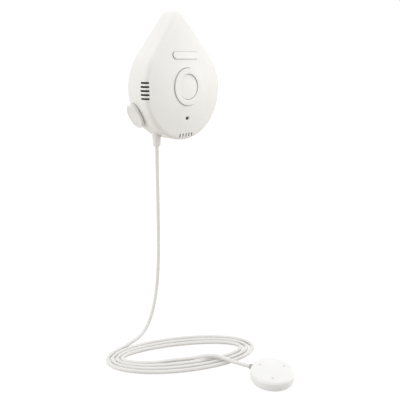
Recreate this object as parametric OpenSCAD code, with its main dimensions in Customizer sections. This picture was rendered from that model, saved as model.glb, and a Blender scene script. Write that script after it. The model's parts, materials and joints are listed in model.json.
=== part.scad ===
// Drop-shaped wall unit that listens for water, with a sensing disc on a long thin cord.
// X runs along the wall, Y points into the wall and Z is up.
// The origin lies on the wall plane, level with the centre of the drop's round lower end.

/* [Housing] */
// Width of the drop
drop_w = 89; // [86:1:96]
// Height of the drop, from its round lower end to its tip
drop_h = 110; // [107:1:120]
// Radius of the rounded tip
tip_r = 6; // [5.5:0.5:8]
// Depth of the ridge between side and face, from the wall plane
ridge_depth = 27; // [26.5:0.5:32]
// How much shallower the ridge is at the tip
tip_drop = 7; // [5:0.5:8]
// Rise of the crowned face above the ridge
crown = 5; // [4:0.5:7]
// Radius of the soft ridge
edge_r = 4; // [3:0.25:4.5]
// Thickness of the moulded wall
wall = 2.2; // [1.8:0.1:2.5]
// Shadow gap between the front cover and the wall plane
cover_rear = 3; // [2.9:0.1:3.4]

/* [Light bar] */
// Width of the light bar
lens_w = 29.5; // [26:0.5:33]
// Height of the light bar
lens_h = 6; // [5:0.5:8]
// Height of the light bar above the origin
lens_v = 29; // [27:0.5:31]
// How far the light bar stands above the face
lens_proud = 0.8; // [0.4:0.1:1]

/* [Face] */
// Outer radius of the plain raised ring
ring_r = 16; // [13:0.5:18]
// Width of the raised ring's band
ring_band = 5; // [3:0.5:6]
// Height of the ring's centre above the origin
ring_v = 2.5; // [0:0.5:4]
// How far the ring stands above the top of the face
ring_proud = 0.4; // [0.2:0.1:1]
// Distance of the reset hole below the origin
pinhole_drop = 25; // [23:0.5:27]
// Radius of the reset hole
pinhole_r = 1.1; // [0.8:0.1:1.4]
// Radius of the reset hole's countersink
pinhole_sink_r = 2.3; // [1.8:0.1:2.6]
// Number of vents across the ridge
vent_count = 5; // [3:1:6]
// Height of the middle of the vents above the origin
vent_v = 0.5; // [-1:0.5:2]
// Distance from one vent to the next
vent_pitch = 3.25; // [2.75:0.25:4]
// Height of one vent
vent_h = 1.5; // [1:0.1:2]
// How far a vent runs onto the face
vent_face = 3.6; // [3.2:0.2:5]
// How far a vent runs down the side
vent_side = 6.2; // [5:0.2:8]
// Number of slits in front of the sounder
slit_count = 5; // [3:1:6]
// Distance from one slit to the next
slit_pitch = 3.6; // [2.8:0.2:4]
// Width of one slit
slit_w = 1; // [0.8:0.1:1.6]
// Length of one slit
slit_l = 3.2; // [2.4:0.2:3.6]
// Distance of the slits from the lower outline
slit_in = 2.9; // [2.4:0.1:3.4]

/* [Side button] */
// Length of the button's cap along the outline
button_l = 22.8; // [20:0.4:24]
// Size of the cap across the side wall
button_h = 15.2; // [14:0.2:16]
// How far the cap stands out of the side wall
button_proud = 3.9; // [3.5:0.1:5]
// Lean of the cap's face towards the front
button_tilt = 5; // [0:1:7]
// Angle of the button below the horizontal
button_angle = 27.5; // [25:0.5:29]
// Clearance around the button's neck in its opening
button_gap = 0.25; // [0.2:0.05:0.4]
// Travel of the button
button_travel = 0.8; // [0.5:0.1:1]

/* [Back] */
// Height of the locating lip inside the front cover
lip_h = 1.2; // [1:0.1:1.4]
// Thickness of the locating lip
lip_t = 1.6; // [1.4:0.1:2]
// Thickness of the battery door
door_t = 2.1; // [1.8:0.1:2.3]
// Radius of the keyhole's round entry
keyhole_r = 4.2; // [3.8:0.1:4.6]
// Half the width of the keyhole's slot
keyhole_slot_r = 2.1; // [1.8:0.1:2.3]
// Distance between the two keyholes
keyhole_span = 40; // [38:1:42]

/* [Inside] */
// Diameter of the battery
battery_d = 17; // [16:0.25:17]
// Length of the battery
battery_l = 34.5; // [32:0.5:35]
// Thickness of the main circuit board
board_t = 1.6; // [1:0.2:1.8]
// Height of the posts that carry the main circuit board
post_h = 4.4; // [4.2:0.1:4.6]
// Travel of the reset switch
reset_travel = 0.25; // [0.15:0.05:0.3]

/* [Plug] */
// Distance of the plug from the drop's left side
plug_in = 23; // [22.5:0.5:24.5]
// Radius of the plug's moulded body
plug_r = 3.9; // [3.2:0.1:4.2]
// Length of the plug's body outside the housing
plug_out = 10.3; // [7:0.1:12]
// Radius of the plug's pin
plug_pin_r = 1.75; // [1.25:0.05:1.75]

/* [Cord] */
// Diameter of the cord
cord_d = 3.4; // [3:0.1:3.6]

/* [Disc] */
// Diameter of the sensing disc
disc_d = 37.5; // [37:0.5:40]
// Height of the disc above the floor
disc_h = 9; // [8.6:0.2:11]
// Radius of the disc's rounded upper edge
disc_edge = 3.2; // [2:0.1:3.4]
// Radius of the circle that the contacts stand on
contact_ring_r = 12; // [11:0.25:12.5]
// Radius of one contact
contact_r = 1.25; // [1:0.05:1.5]
// How far the contacts stand below the base
contact_foot = 0.8; // [0.5:0.1:1]

/* [Hidden] */
$fn = 48;

// Fits that several pieces share
fit_gap = 0.15;
seat_gap = 0.3;
embed = 0.5;
over = 1;
through = 60;

// Outline of the drop: a circle, a small tip circle and the two lines that touch both
R = drop_w / 2;
apex = drop_h - R;
tip_v = apex - tip_r;
side_a = asin((R - tip_r) / tip_v);
knee_v = R * sin(side_a);
tip_from = tip_v + tip_r * sin(side_a);
least_width = 0.01;
tip_steps = 8;
side_steps = 6;
arc_steps = 44;
min_tip_r = 0.3;

// Slope of the face where it meets the ridge
slope = atan(2 * crown / R);
edge_steps = 4;
inner_edge_steps = 2;
inner_edge_r = max(edge_r - wall, 1);
face_shares = [0.8, 0.6, 0.4, 0.2];

// Back cover and its lip
lip_inset = wall + fit_gap;
lip_top = cover_rear + lip_h;
foot_step = 0.85;
foot_inset = lip_inset + foot_step;
foot_t = 1.2;
door_sink = 0.3;
door_gap = 0.25;
plate_t = door_sink + door_t + door_gap;
seal_h = 0.7;
seal_w = 0.85;
seal_from = cover_rear + (lip_h - seal_h) / 2;
seal_gap = 0.05;

// Battery bay behind the door
bay_wall = 1.4;
bay_roof = 1;
bay_room = 3;
bay_v = 23;
battery_gap = 0.35;
battery_nub_r = 3.2;
battery_nub_l = 1.5;
contact_space = 2.75;
bay_l = battery_l + 2 * contact_space;
bay_h = battery_d + bay_room;
battery_w = plate_t + battery_gap + battery_d / 2;
bay_in = battery_w + battery_d / 2 + battery_gap;
bay_out = bay_in + bay_roof;
cradle_u = 9;
cradle_t = 2;
cradle_h = 6;
door_ledge = 1;
door_w = bay_l + 2 * (door_ledge - door_gap);
door_low = bay_v - bay_h / 2 - door_ledge;
door_high = bay_v + bay_h / 2 + door_ledge;
hinge_r = door_t / 2;
hinge_w = door_sink + hinge_r;
hinge_v = door_low + seat_gap + hinge_r;
hinge_pin_r = 0.7;
hinge_pin_l = 1.5;
hinge_play = 0.08;
finger_r = 7;
finger_d = 2;
contact_t = 0.5;
contact_w = 12;
contact_touch = 0.05;
contact_dome_r = 2.4;
contact_base_r = 3.4;

// Main circuit board
board_inset = 8;
board_gap = 1.1;
board_top = bay_v - bay_h / 2 - bay_wall - board_gap;
board_back = plate_t + post_h;
board_front = board_back + board_t;
post_r = 3;
board_screw_at = [[-14, 5], [R - 17.5, -12], [-8, 12.5 - R]];
board_screw_r = 1.1;
board_screw_head_r = 2.5;
board_screw_head_h = 1.6;
board_screw_l = 5.4;
board_screw_end = board_front - board_screw_l;

// What is soldered to the main circuit board
radio_at = [12, 0];
radio_can = [13, 12, 2.4];
radio_base = [18, 16, 0.8];
radio_shift = 2;
chip_sizes = [[8, 8, 1], [5, 4, 1], [4, 5, 1.4]];
chip_at = [[-8, -9], [-9, -19], [-17, -4]];
sounder_in = 28.5;
sounder_rise = 23.5;
sounder_at = [R - sounder_in, sounder_rise - R];
sounder_r = 7;
sounder_h = 6;
sounder_hole_r = 1.2;
humidity_in = 16.5;
humidity_at = [humidity_in - R, -3];
humidity_size = [3, 3, 1.2];
humidity_hole_r = 0.6;

// Screws that hold the two covers together
boss_r = 3;
boss_inset = 10.5;
tip_boss_drop = 16.5;
screw_at = [
    [0, apex - tip_boss_drop],
    [-(R - boss_inset), 4],
    [R - boss_inset, 4],
    [14, -(R - boss_inset)]
];
screw_r = 1.3;
screw_head_r = 2.7;
screw_head_h = 1.7;
screw_head_w = 0.6;
screw_l = 12;
screw_seat = screw_head_w + screw_head_h;
screw_end = screw_seat + screw_l;
screw_play = 0.05;
screw_clear = 0.25;
screw_pad_r = 4.6;
screw_pad_h = 2.4;
screw_pad_top = plate_t + screw_pad_h;
boss_from = screw_pad_top + seat_gap;

// Keyholes
keyhole_v = -7;
keyhole_rise = 8;
keyhole_depth = 3;
keyhole_side = 0.4;
keyhole_skin = 0.8;

// Light bar, with its flange just behind the face and the light board below it
lens_gap = 0.15;
lens_flange = 1.2;
lens_flange_t = 0.8;
led_gap = 0.1;
led_size = [3.5, 2.8, 0.6];
led_pitch = 9;
light_board_size = [32, 8.4];
light_board_t = 0.8;

// Side button and the switch behind it
button_margin = 1.5;
stem_r = 1.5;
stem_clear = 0.3;
neck_l = 16;
neck_h = 7.6;
neck_in = 0.8;
button_w = max(cover_rear + button_margin + button_gap + neck_h / 2, board_front + stem_clear + stem_r);
button_rear = 0.8;
cap_w = button_rear + button_h / 2;
cap_play = 0.25;
cap_under = R + button_travel + cap_play;
cap_low = sqrt(R * R - button_l * button_l / 4) - cap_play;
button_steps = 40;
button_flange = 1.2;
button_flange_t = 1.2;
button_flange_r = sqrt(pow(R - wall, 2) - pow(neck_l / 2 + button_flange, 2)) - seat_gap;
button_round = 1;
button_dish = 0.2;
button_dish_in = 2.6;
button_turns = [0, 30, 60, 90];
switch_size = 6;
switch_l = 5;
switch_depth = 8.8;
switch_top = R - wall - switch_depth;
switch_front = 2.1;
plunger_r = 1.2;
plunger_out = 1.2;
plunger_in = 0.6;
plunger_play = 0.1;
plunger_end = switch_top - plunger_in;

// Socket and plug
jack_w = 9;
jack_t = 6.8;
jack_l = 13;
jack_back = 1.2;
plug_left = R - plug_in;
jack_face = jack_back - sqrt(pow(R - wall, 2) - pow(plug_left + jack_w / 2, 2));
jack_bore_l = 11.5;
plug_w = board_front + jack_t / 2;
plug_gap = 0.2;
plug_play = 0.1;
plug_low = -sqrt(R * R - plug_left * plug_left) - plug_out;
plug_taper = 0.25;
plug_bevel = 0.8;
plug_pin_l = 11;
plug_pin_neck = 0.7;
plug_pin_tip = 0.4;
plug_pin_groove = [3, 2.4, 1.6];
relief_l = 1.4;
relief_r = 2.1;
relief_wall = 0.25;

// Reset switch under its guide tube
reset_size = [5, 5, 1.6];
reset_out = 0.6;
reset_in = 0.6;
reset_grow = 0.4;
reset_play = 0.1;
reset_r = pinhole_r + reset_grow;
guide_wall = 1.6;
guide_gap = 0.8;

// Floor under the disc and the coiled cord
floor_z = -240;
cord_r = cord_d / 2;
cord_z = floor_z + cord_r;
cord_sides = 8;
coil_sides = 6;
spline_steps = 3;

// Oval loops on the floor, winding inwards
coil_at = [-31.7, -55.3];
coil_turn = -34.5;
coil_long = 69.5;
coil_short = 28.3;
coil_step = 5;
coil_drift = 0.6;
coil_from = 150;
coil_to = 1320;
coil_ring = 15;
coil_apart = 8;

// Route of the cord from the plug to the loops
hang_points = [
    [-21.5, -12, -70], [-21.6, -12, -94], [-21.8, -12, -118], [-22.2, -12, -140], [-23, -12, -160],
    [-24.6, -12, -178], [-27.2, -11.9, -195], [-31, -11.6, -210], [-35.8, -11.2, -221.5],
    [-41.4, -10.7, -229.8], [-48.2, -10.4, -234.3], [-55.2, -9.9, -236], [-62.6, -9.4, -237.6]
];

// Route from the loops, over three strands of them, to the disc
tail_points = [
    [-55.5, -52.3, -238.3], [-48, -56.9, -238.3], [-40.5, -62.1, -238.3], [-33.9, -67.6, -237.7],
    [-29.2, -72.9, -236], [-25.1, -77.9, -234.4], [-21.3, -81.8, -234], [-17.7, -86, -234.1],
    [-15.4, -92.4, -234.2], [-13.6, -100.6, -234.2], [-11.2, -107.4, -234.5]
];

// Sensing disc
disc_at = [-1.4, -136];
disc_turn = 105;
contact_turn = -5;
screw_turn = contact_turn + 60;
disc_r = disc_d / 2;
disc_wall = 1.6;
disc_top = 1.8;
disc_inner_r = disc_r - disc_wall;
disc_floor_t = 1.2;
disc_spigot_h = 1.6;
disc_part = contact_foot + disc_floor_t;
disc_spigot = disc_part + disc_spigot_h;
disc_base_inset = 0.4;
disc_seal_up = 0.4;
disc_seal_from = disc_part + disc_seal_up;
disc_seal_h = 0.8;
disc_seal_w = 0.8;
disc_board_t = 1;
disc_board_edge = 2;
disc_board_r = contact_ring_r + disc_board_edge;
contact_flange = 0.8;
contact_recess = 0.35;
contact_play = 0.05;
disc_boss_r = 2;
disc_screw_r = 0.75;
disc_screw_head_r = 1.7;
disc_screw_head_h = 0.9;
disc_screw_l = 4.4;
disc_screw_play = 0.05;
disc_screw_sink = 0.1;
gland_z = 4.6;
gland_r = 2.2;
gland_collar_r = 2.6;
gland_out = 2.4;

// Points on an arc
function arc(c, r, from, to, steps) =
    [for (i = [0 : steps]) let (a = from + (to - from) * i / steps) c + r * [cos(a), sin(a)]];

// Points strictly between two others
function between(a, b, steps) = [for (i = [1 : steps - 1]) a + (b - a) * i / steps];

// Drop outline, drawn in by an inset, anticlockwise from the right of the tip
function outline(inset) =
    let (
        big = R - inset,
        small = max(tip_r - inset, min_tip_r),
        top = [0, (big - small) / sin(side_a)],
        tip = arc(top, small, side_a, 180 - side_a, tip_steps),
        low = arc([0, 0], big, 180 - side_a, 360 + side_a, arc_steps)
    )
    concat(
        tip,
        between(tip[tip_steps], low[0], side_steps),
        low,
        between(low[arc_steps], tip[0], side_steps)
    );

// Slot outline with round ends, long side along the first axis
function stadium(l, h) =
    concat(
        arc([(l - h) / 2, 0], h / 2, -90, 90, 12),
        arc([(h - l) / 2, 0], h / 2, 90, 270, 12)
    );

// Depth of the ridge at a height
function ridge(v) = ridge_depth - tip_drop * pow(max(v, 0) / apex, 2);

// Half of the outline's width at a height
function half_chord(r, d) = sqrt(max(r * r - d * d, least_width));
function half_width(v) =
    v < knee_v ? half_chord(R, v)
    : v < tip_from ? (R - v * sin(side_a)) / cos(side_a)
    : half_chord(tip_r, v - tip_v);

// Share of the crown on the middle line at a height
function crown_share(v) =
    let (t = v / (v < 0 ? R : apex))
    v < 0 ? 1 - t * t : 1 - 2 * t * t + t * t * t;

// Depth of the crowned face at a point
function face(u, v) = ridge(v) + crown * crown_share(v) * max(1 - pow(u / half_width(v), 2), 0);

// One ring of the soft ridge and one ring of the face
function edge_ring(inset, r, lift, a) =
    [for (p = outline(inset + r * (1 - cos(a))))
        [p.x, p.y, ridge(p.y) + lift + r * (tan(slope) - 1 / cos(slope) + sin(a))]];
function face_ring(inset, lift, share) =
    [for (p = share * outline(inset)) [p.x, p.y, face(p.x, p.y) + lift]];

// Rings of a whole skin, from its rear edge to the middle of the face
function skin(inset, r, edge_lift, face_lift, steps) =
    concat(
        [[for (p = outline(inset)) [p.x, p.y, cover_rear]]],
        [for (i = [0 : steps]) edge_ring(inset, r, edge_lift, (90 - slope) * i / steps)],
        [for (share = face_shares) face_ring(inset, face_lift, share)]
    );
function reversed(list) = [for (i = [len(list) - 1 : -1 : 0]) list[i]];

// Faces between two rings of points
function strip(a, b, n) =
    [for (i = [0 : n - 1]) each [
        [a + i, b + i, b + (i + 1) % n],
        [a + i, b + (i + 1) % n, a + (i + 1) % n]
    ]];

// Closed solid through a list of rings, from a first point to a last one
module loft(first, rings, last) {
    n = len(rings[0]);
    m = len(rings);
    end = 1 + n * (m - 1);
    polyhedron(
        points = concat([first], [for (ring = rings) each ring], [last]),
        faces = concat(
            [for (i = [0 : n - 1]) [0, 1 + i, 1 + (i + 1) % n]],
            [for (k = [0 : m - 2]) each strip(1 + k * n, 1 + (k + 1) * n, n)],
            [for (i = [0 : n - 1]) [end + i, end + n, end + (i + 1) % n]]
        )
    );
}

// Frames: on the wall, along the button's axis, and on the disc
module on_wall() {
    rotate([90, 0, 0]) children();
}
module button_frame() {
    rotate([0, 0, 180 + button_angle]) translate([0, 0, button_w]) rotate([0, 90, 0]) children();
}
module on_button() {
    on_wall() button_frame() children();
}
module on_disc() {
    translate([disc_at.x, disc_at.y, floor_z]) rotate([0, 0, disc_turn]) children();
}

// Solids that repeat
module drop_slab(inset, from, to) {
    translate([0, 0, from]) linear_extrude(to - from) polygon(outline(inset));
}
module drop_band(outer, inner, from, to) {
    difference() {
        drop_slab(outer, from, to);
        drop_slab(inner, from - over, to + over);
    }
}
module slot_block(l, h, from, to) {
    translate([0, 0, from]) linear_extrude(to - from) polygon(stadium(l, h));
}
module box(size, at, from) {
    translate([at.x - size.x / 2, at.y - size.y / 2, from]) cube(size);
}
module rod(r, from, to) {
    translate([0, 0, from]) cylinder(r = r, h = to - from);
}
module rod_at(at, r, from, to) {
    translate(at) rod(r, from, to);
}
module around_disc(start) {
    for (i = [0 : 2]) rotate([0, 0, start + 120 * i]) translate([contact_ring_r, 0, 0]) children();
}

// Crowned drop shell, open at the rear
module cover_shell() {
    inner_lift = wall * (tan(slope) - 1);
    inner = skin(wall, inner_edge_r, inner_lift, -wall, inner_edge_steps);
    outer = skin(0, edge_r, 0, 0, edge_steps);
    loft([0, 0, face(0, 0) - wall], concat(reversed(inner), outer), [0, 0, face(0, 0)]);
}
module raised_ring() {
    top = face(0, 0) + ring_proud;
    bevel = ring_band / 6;
    low = top - ring_proud - wall / 2;
    in_r = ring_r - ring_band;
    translate([0, ring_v, 0]) rotate_extrude() polygon([
        [in_r, low], [ring_r, low], [ring_r, top - bevel / 2],
        [ring_r - bevel, top], [in_r + bevel, top], [in_r, top - bevel / 2]
    ]);
}
module screw_bosses() {
    for (p = screw_at) rod_at(p, boss_r, boss_from, face(p.x, p.y) - wall / 2);
}
module guide_tube() {
    low = board_front + reset_size.z + reset_out + guide_gap;
    rod_at([0, -pinhole_drop], pinhole_r + guide_wall, low, face(0, -pinhole_drop) - wall / 2);
}
module face_openings() {
    translate([0, lens_v, 0])
        slot_block(lens_w + 2 * lens_gap, lens_h + 2 * lens_gap, lip_top, through);
    top = face(0, -pinhole_drop);
    translate([0, -pinhole_drop, 0]) {
        rod(pinhole_r, lip_top, through);
        translate([0, 0, top - pinhole_sink_r + pinhole_r])
            cylinder(r1 = pinhole_r, r2 = pinhole_sink_r + over, h = pinhole_sink_r - pinhole_r + over);
    }
    for (i = [0 : vent_count - 1]) {
        v = vent_v + (i - (vent_count - 1) / 2) * vent_pitch;
        translate([-R - over, v - vent_h / 2, ridge_depth - vent_side])
            cube([over + vent_face, vent_h, through]);
    }
    for (i = [0 : slit_count - 1]) {
        u = (i - (slit_count - 1) / 2) * slit_pitch;
        translate([u - slit_w / 2, slit_in - R, ridge_depth - edge_r - wall])
            cube([slit_w, slit_l, through]);
    }
}
module side_openings() {
    button_frame() translate([0, 0, button_flange_r])
        linear_extrude(R) polygon(oval(neck_h, neck_l, button_gap));
    translate([-plug_left, jack_face, plug_w]) rotate([90, 0, 0])
        cylinder(r = plug_r + plug_gap, h = R);
}

// Front cover
module front_cover() {
    color("white") on_wall() difference() {
        union() {
            cover_shell();
            raised_ring();
            screw_bosses();
            guide_tube();
        }
        face_openings();
        side_openings();
        for (p = screw_at) rod_at(p, screw_r + screw_play, boss_from - over, screw_end + over);
    }
}

// Light bar, level with the curve of the face, with a flange behind it
lens_flange_top = face(lens_w / 2, lens_v + lens_h / 2) - wall - seat_gap;
lens_back = lens_flange_top - lens_flange_t;
module indicator_lens() {
    color("ghostwhite") on_wall() union() {
        intersection() {
            translate([0, lens_v, 0]) slot_block(lens_w, lens_h, lens_back, through);
            loft(
                [0, 0, cover_rear],
                skin(0, edge_r, lens_proud, lens_proud, edge_steps),
                [0, 0, face(0, 0) + lens_proud]
            );
        }
        translate([0, lens_v, 0])
            slot_block(lens_w + 2 * lens_flange, lens_h + 2 * lens_flange, lens_back, lens_flange_top);
    }
}

// Oval in the button's own frame, grown by a clearance
function oval(h, l, grow) =
    [for (i = [0 : button_steps - 1]) let (a = 360 * i / button_steps)
        [(h / 2 + grow) * cos(a), (l / 2 + grow) * sin(a)]];
function cap_ring(inset, z) =
    [for (p = oval(button_h, button_l, -inset)) [p.x, p.y, z + p.x * tan(button_tilt)]];

// Side button: cap that stands clear of the wall, neck through it, retaining flange and stem
module button_cap() {
    top = R + button_proud;
    rim_rings = [for (a = button_turns)
        cap_ring(button_round * (1 - cos(a)), top + button_round * (sin(a) - 1))];
    difference() {
        translate([button_w - cap_w, 0, 0]) loft(
            [0, 0, cap_low],
            concat([cap_ring(0, cap_low)], rim_rings, [cap_ring(button_dish_in, top - button_dish)]),
            [0, 0, top - button_dish]
        );
        rotate([0, 90, 0]) cylinder(r = cap_under, h = 2 * R, center = true);
    }
}
module side_button() {
    flange_low = button_flange_r - button_flange_t;
    color("white") on_button() union() {
        button_cap();
        translate([0, 0, flange_low])
            linear_extrude(cap_under + neck_in - flange_low) polygon(oval(neck_h, neck_l, 0));
        translate([0, 0, flange_low])
            linear_extrude(button_flange_t) polygon(oval(neck_h, neck_l, button_flange));
        rod(stem_r, switch_top + plunger_out, button_flange_r - button_flange_t / 2);
    }
}
module switch_plunger() {
    color("dimgray") on_button() rod(plunger_r, plunger_end, switch_top + plunger_out);
}
module side_switch() {
    color("silver") on_button() difference() {
        translate([-switch_front, -switch_size / 2, switch_top - switch_l])
            cube([switch_front + button_w - board_front, switch_size, switch_l]);
        rod(plunger_r + plunger_play, plunger_end - button_travel - seat_gap, switch_top + over);
    }
}

// Keyhole: round entry, slot above it and the pocket for the screw's head
module keyhole_pad() {
    l = keyhole_rise + 2 * (keyhole_r + keyhole_side + bay_wall);
    translate([0, keyhole_v + keyhole_rise / 2, 0]) rotate([0, 0, 90])
        slot_block(l, l - keyhole_rise, plate_t - embed, plate_t + keyhole_depth + keyhole_skin);
}
module keyhole_cut() {
    l = keyhole_rise + 2 * (keyhole_r + keyhole_side);
    translate([0, keyhole_v, 0]) rod(keyhole_r, -over, plate_t + embed);
    translate([0, keyhole_v + keyhole_rise / 2, 0]) rotate([0, 0, 90]) {
        slot_block(keyhole_rise + 2 * keyhole_slot_r, 2 * keyhole_slot_r, -over, plate_t + embed);
        slot_block(l, l - keyhole_rise, plate_t, plate_t + keyhole_depth);
    }
}

// Battery bay with two curved cradles, and the opening that the door fills
module bay_block() {
    low = plate_t - embed;
    box([bay_l + 2 * bay_wall, bay_h + 2 * bay_wall, bay_out - low], [0, bay_v], low);
    pedestal = light_back - bay_out;
    box([light_board_size.x, light_board_size.y, pedestal + embed], [0, lens_v], bay_out - embed);
}
module bay_cut() {
    difference() {
        box([bay_l, bay_h, bay_in + over], [0, bay_v], -over);
        for (u = [-cradle_u, cradle_u]) difference() {
            box([cradle_t, bay_h + over, cradle_h + over], [u, bay_v], bay_in - cradle_h);
            translate([u - cradle_t, bay_v, battery_w]) rotate([0, 90, 0])
                cylinder(r = battery_d / 2 + fit_gap, h = 2 * cradle_t);
        }
    }
    box([bay_l + 2 * door_ledge, door_high - door_low, plate_t + over], [0, bay_v], -over);
    along_hinge(bay_l + 2 * door_ledge + 2 * (hinge_pin_l + door_gap));
}
module along_hinge(l) {
    translate([-l / 2, hinge_v, hinge_w]) rotate([0, 90, 0])
        cylinder(r = hinge_pin_r + hinge_play, h = l);
}

// Back cover
module back_cover() {
    color("whitesmoke") on_wall() difference() {
        union() {
            drop_slab(foot_inset, 0, plate_t);
            drop_slab(lip_inset, foot_t, plate_t);
            drop_band(lip_inset, lip_inset + lip_t, plate_t - embed, lip_top);
            bay_block();
            for (u = [-1, 1] * keyhole_span / 2) translate([u, 0, 0]) keyhole_pad();
            for (p = screw_at) rod_at(p, screw_pad_r, plate_t - embed, screw_pad_top);
            for (p = board_screw_at) rod_at(p, post_r, plate_t - embed, board_back);
        }
        bay_cut();
        drop_band(lip_inset - over, lip_inset + seal_w, seal_from, seal_from + seal_h);
        for (u = [-1, 1] * keyhole_span / 2) translate([u, 0, 0]) keyhole_cut();
        for (p = screw_at) {
            rod_at(p, screw_head_r + screw_clear, -over, screw_seat);
            rod_at(p, screw_r + screw_clear, -over, screw_pad_top + over);
        }
        for (p = board_screw_at)
            rod_at(p, board_screw_r + screw_play, board_screw_end - seat_gap, board_back + over);
    }
}
module housing_seal() {
    low = seal_from + seal_gap;
    high = seal_from + seal_h - seal_gap;
    color("dimgray") on_wall() drop_band(wall + seal_gap, lip_inset + seal_w - seal_gap, low, high);
}
module housing_screws() {
    color("silver") on_wall() for (p = screw_at) {
        rod_at(p, screw_head_r, screw_head_w, screw_seat);
        rod_at(p, screw_r, screw_seat, screw_end);
    }
}

// Battery door: a plate with a round hinge edge, two stub pins and a finger notch
module battery_door() {
    color("whitesmoke") on_wall() difference() {
        union() {
            translate([-door_w / 2, hinge_v, door_sink])
                cube([door_w, door_high - door_gap - hinge_v, door_t]);
            translate([-door_w / 2, hinge_v, hinge_w]) rotate([0, 90, 0])
                cylinder(r = hinge_r, h = door_w);
            translate([-door_w / 2 - hinge_pin_l, hinge_v, hinge_w]) rotate([0, 90, 0])
                cylinder(r = hinge_pin_r, h = door_w + 2 * hinge_pin_l);
        }
        translate([0, door_high - door_gap, door_sink - finger_r + door_t / 2]) rotate([90, 0, 0])
            cylinder(r = finger_r, h = 2 * finger_d, center = true);
    }
}

// Battery, lying along the bay, and its two contacts
module battery() {
    color("slategray") on_wall() translate([-battery_l / 2, bay_v, battery_w]) rotate([0, 90, 0]) {
        cylinder(r = battery_d / 2, h = battery_l - battery_nub_l);
        cylinder(r = battery_nub_r, h = battery_l);
    }
}
module positive_contact() {
    color("gainsboro") on_wall() {
        translate([bay_l / 2 - contact_t, bay_v - contact_w / 2, battery_w - contact_w / 2])
            cube([contact_t, contact_w, contact_w]);
        translate([battery_l / 2 + contact_touch, bay_v, battery_w]) rotate([0, 90, 0])
            cylinder(r1 = contact_dome_r, r2 = contact_base_r, h = contact_space - contact_t / 2);
    }
}
module negative_contact() {
    leaf_w = contact_w / 2;
    leaf_end = contact_w / 3;
    reach = contact_space - contact_touch;
    bend = contact_w / 10;
    color("gainsboro") on_wall() translate([-bay_l / 2, bay_v, battery_w]) {
        translate([0, -contact_w / 2, -contact_w / 2]) cube([contact_t, contact_w, contact_w]);
        translate([0, leaf_w / 2, 0]) rotate([90, 0, 0]) linear_extrude(leaf_w) polygon([
            [0, -contact_w / 2], [contact_t, -contact_w / 2], [reach, -bend], [reach, bend],
            [contact_t, leaf_end], [contact_t, leaf_end - 2 * contact_t],
            [reach - contact_t, 0], [0, 2 * contact_t - contact_w / 2]
        ]);
    }
}

// Main circuit board and what is soldered to it
module circuit_board() {
    color("seagreen") on_wall() difference() {
        intersection() {
            drop_slab(board_inset, board_back, board_front);
            box([drop_w, drop_h, through], [0, board_top - drop_h / 2], 0);
        }
        for (p = screw_at) rod_at(p, boss_r + 2 * seat_gap, 0, through);
        for (p = board_screw_at) rod_at(p, board_screw_r + screw_clear, 0, through);
    }
}
module board_screws() {
    color("silver") on_wall() for (p = board_screw_at) {
        rod_at(p, board_screw_head_r, board_front, board_front + board_screw_head_h);
        rod_at(p, board_screw_r, board_screw_end, board_front + board_screw_head_h / 2);
    }
}
module reset_switch() {
    top = board_front + reset_size.z;
    color("dimgray") on_wall() difference() {
        box(reset_size, [0, -pinhole_drop], board_front);
        translate([0, -pinhole_drop, top])
            rod(reset_r + reset_play, -reset_in - reset_travel - reset_play, over);
    }
}
module reset_plunger() {
    top = board_front + reset_size.z;
    color("black") on_wall() rod_at([0, -pinhole_drop], reset_r, top - reset_in, top + reset_out);
}
module cable_jack() {
    color("dimgray") on_wall() difference() {
        translate([-plug_left - jack_w / 2, jack_face, board_front]) cube([jack_w, jack_l, jack_t]);
        translate([-plug_left, jack_face + jack_bore_l, plug_w]) rotate([90, 0, 0])
            cylinder(r = plug_pin_r + plug_play, h = jack_bore_l + over);
    }
}
module radio_module() {
    color("gainsboro") on_wall() {
        box(radio_base, radio_at + [radio_shift, 0], board_front);
        box(radio_can, radio_at, board_front + radio_base.z / 2);
    }
}
module control_chips() {
    color("black") on_wall()
        for (i = [0 : len(chip_at) - 1]) box(chip_sizes[i], chip_at[i], board_front);
}
module sounder() {
    color("black") on_wall() difference() {
        rod_at(sounder_at, sounder_r, board_front, board_front + sounder_h);
        rod_at(sounder_at, sounder_hole_r, board_front + sounder_h / 2, board_front + sounder_h + over);
    }
}
module humidity_sensor() {
    mid = board_front + humidity_size.z / 2;
    color("black") on_wall() difference() {
        box(humidity_size, humidity_at, board_front);
        rod_at(humidity_at, humidity_hole_r, mid, mid + over);
    }
}

// Light board on the bay's pedestal, with its row of lights just behind the light bar
light_front = lens_back - led_size.z - led_gap;
light_back = light_front - light_board_t;
module light_board() {
    color("seagreen") on_wall()
        box([light_board_size.x, light_board_size.y, light_board_t], [0, lens_v], light_back);
}
module indicator_leds() {
    color("lightyellow") on_wall()
        for (u = [-1, 0, 1] * led_pitch) box(led_size, [u, lens_v], light_front);
}

// Plug: moulded body with a tapered relief, and its pin
module at_plug() {
    on_wall() translate([-plug_left, jack_face, plug_w]) rotate([90, 0, 0]) children();
}
plug_l = jack_face - plug_low;
module plug_body() {
    color("whitesmoke") at_plug() rotate_extrude() polygon([
        [0, 0], [plug_r, 0], [plug_r, plug_l - plug_out], [plug_r - plug_taper, plug_l - plug_bevel],
        [plug_r - plug_taper - plug_bevel, plug_l], [relief_r, plug_l],
        [cord_r + relief_wall, plug_l + relief_l], [0, plug_l + relief_l]
    ]);
}
module plug_pin() {
    color("silver") at_plug() mirror([0, 0, 1]) rotate_extrude() polygon([
        [0, 0], [plug_pin_r, 0], [plug_pin_r, plug_pin_l - plug_pin_groove[0]],
        [plug_pin_r * plug_pin_neck, plug_pin_l - plug_pin_groove[1]],
        [plug_pin_r, plug_pin_l - plug_pin_groove[2]],
        [plug_pin_r * plug_pin_tip, plug_pin_l], [0, plug_pin_l]
    ]);
}

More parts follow.
